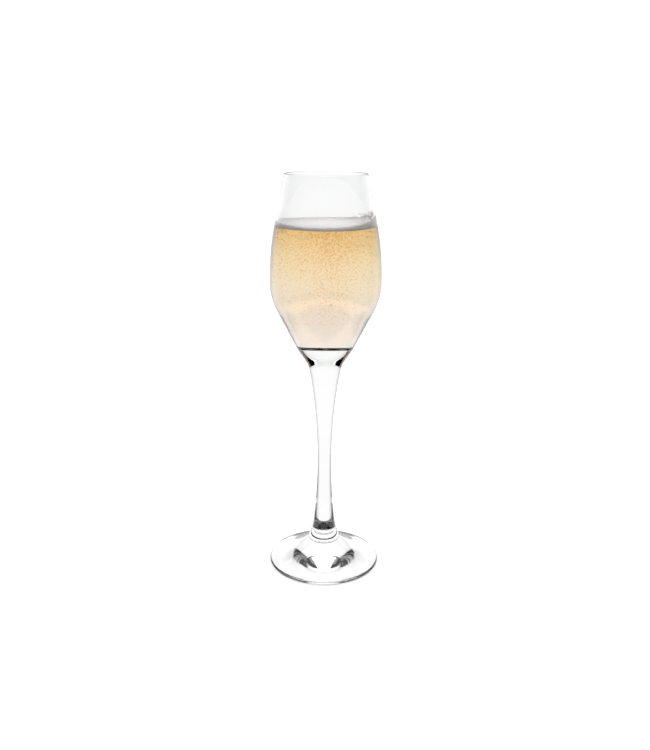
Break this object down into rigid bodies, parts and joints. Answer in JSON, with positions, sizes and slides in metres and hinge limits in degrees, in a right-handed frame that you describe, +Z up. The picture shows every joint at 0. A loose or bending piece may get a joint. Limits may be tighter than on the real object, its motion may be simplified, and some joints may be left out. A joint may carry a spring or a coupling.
{
  "type": "champagne flute",
  "caption": "Tall stemmed glass flute with a tapered mouth, a waisted solid stem and a short conical collar on a swept round foot, filled with pink sparkling wine under a layer of foam",
  "frame": {"origin": "centre of the flat ring that the foot rests on", "axes": "+Z points up along the glass's axis from the foot to the rim; X and Y are level and alike, because the glass is round"},
  "size_m": [0.064, 0.064, 0.225],
  "materials": {
    "clear_glass": "clear, fire-polished, very faint draw lines",
    "sparkling_wine": "clear peach-pink liquid with fine bubbles",
    "wine_foam": "pale foam of small bubbles"
  },
  "bodies": {
    "root": {"bowl": "clear_glass", "stem": "clear_glass", "collar": "clear_glass", "foot": "clear_glass", "wine": "sparkling_wine", "foam": "wine_foam"}
  },
  "joints": []
}
